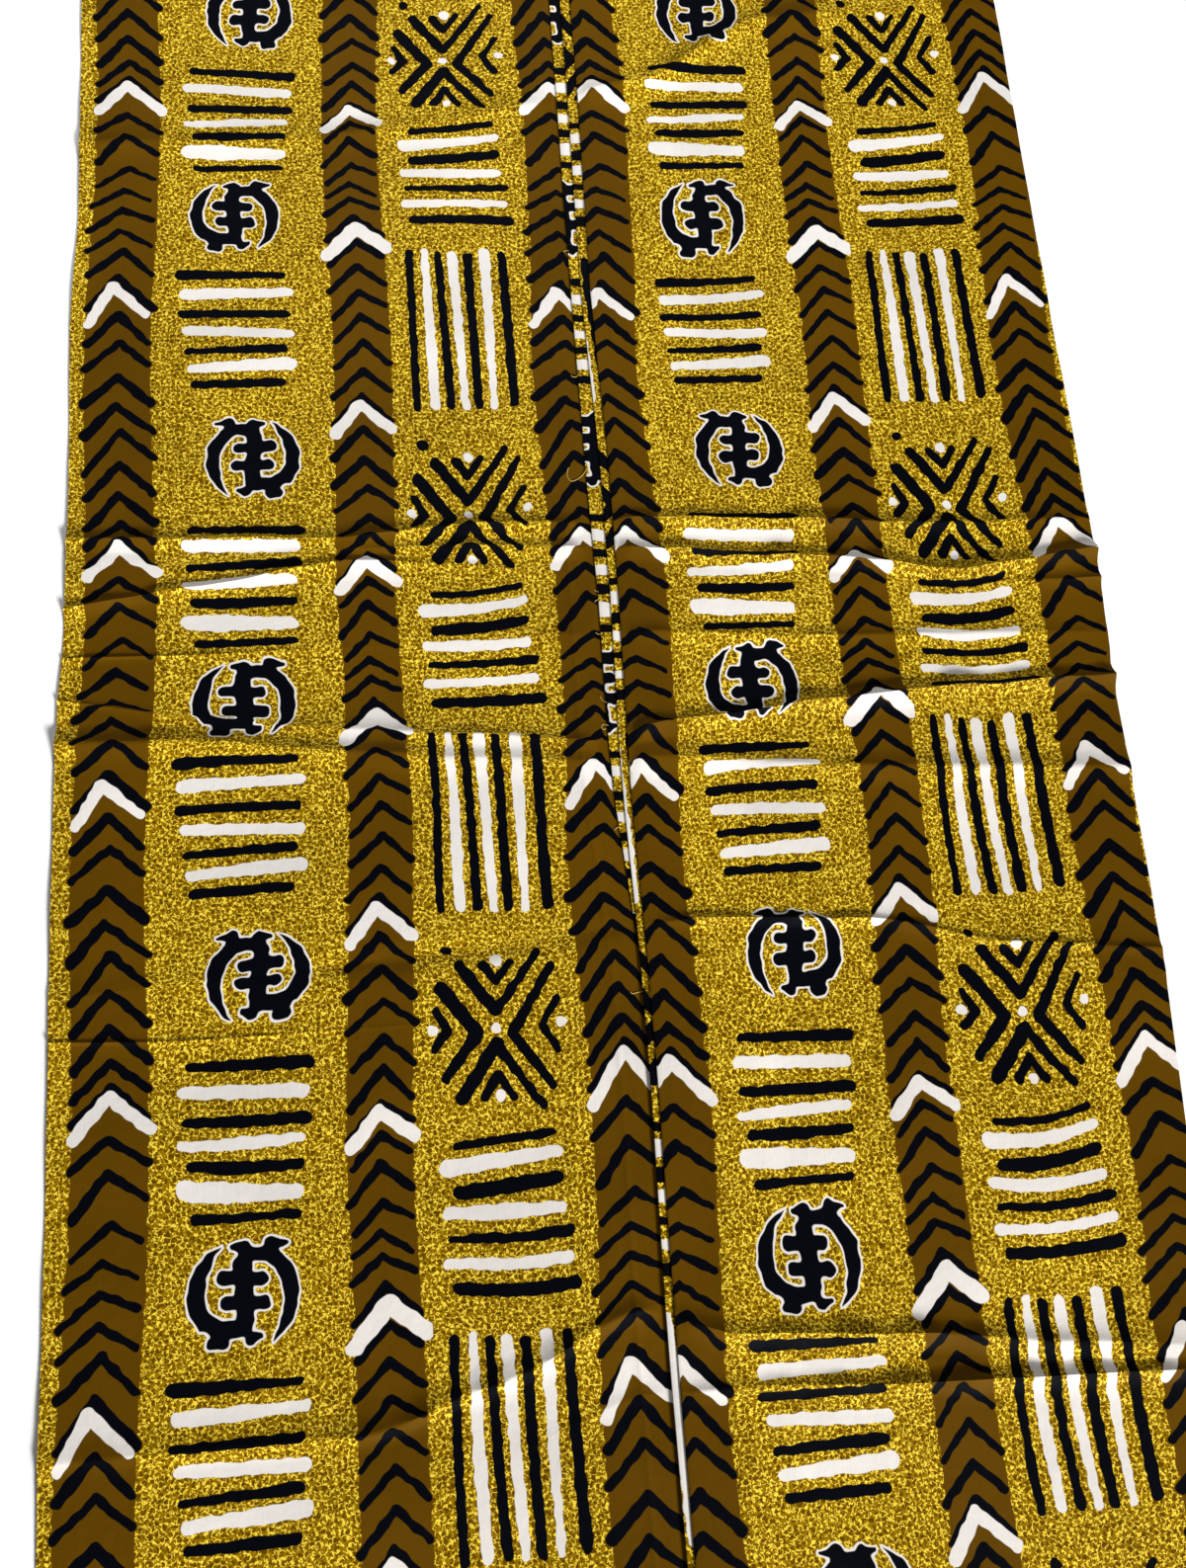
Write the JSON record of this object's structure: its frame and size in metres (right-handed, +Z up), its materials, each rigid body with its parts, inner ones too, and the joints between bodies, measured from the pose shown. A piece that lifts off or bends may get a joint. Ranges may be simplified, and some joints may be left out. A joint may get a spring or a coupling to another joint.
{
  "type": "wax print cloth",
  "caption": "Length of printed cotton cloth laid flat, face up, with its spare width folded away in lengthwise knife pleats along the middle.",
  "frame": {"origin": "centre of the rectangle that the cloth covers, on the surface it lies on", "axes": "+X across the cloth, +Y along its length towards the far end of the picture, +Z up from the printed face"},
  "size_m": [0.8409, 1.375, 0.0145],
  "materials": {
    "printed_cotton": "matt printed cotton with a faint glaze"
  },
  "bodies": {
    "root": {"cloth": "printed_cotton"}
  },
  "joints": []
}
